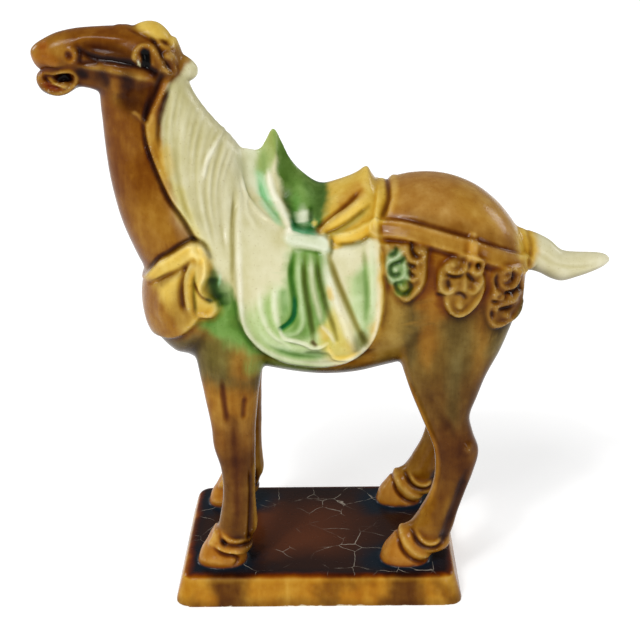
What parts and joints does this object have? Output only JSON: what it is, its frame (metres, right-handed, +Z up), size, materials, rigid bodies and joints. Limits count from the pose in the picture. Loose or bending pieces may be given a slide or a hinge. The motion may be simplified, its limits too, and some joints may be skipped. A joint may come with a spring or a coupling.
{
  "type": "sancai horse figure",
  "caption": "Standing saddled horse in glazed ceramic on a low rectangular base, head raised and mouth open, for display on a shelf or table.",
  "frame": {"origin": "centre of the base's flat underside", "axes": "+Z up, the horse faces -X, its left flank looks towards -Y"},
  "size_m": [0.2469, 0.093, 0.2537],
  "materials": {
    "sancai_glaze": "thick glossy lead glaze in amber, cream and green"
  },
  "bodies": {
    "root": {"horse_on_base": "sancai_glaze"}
  },
  "joints": []
}
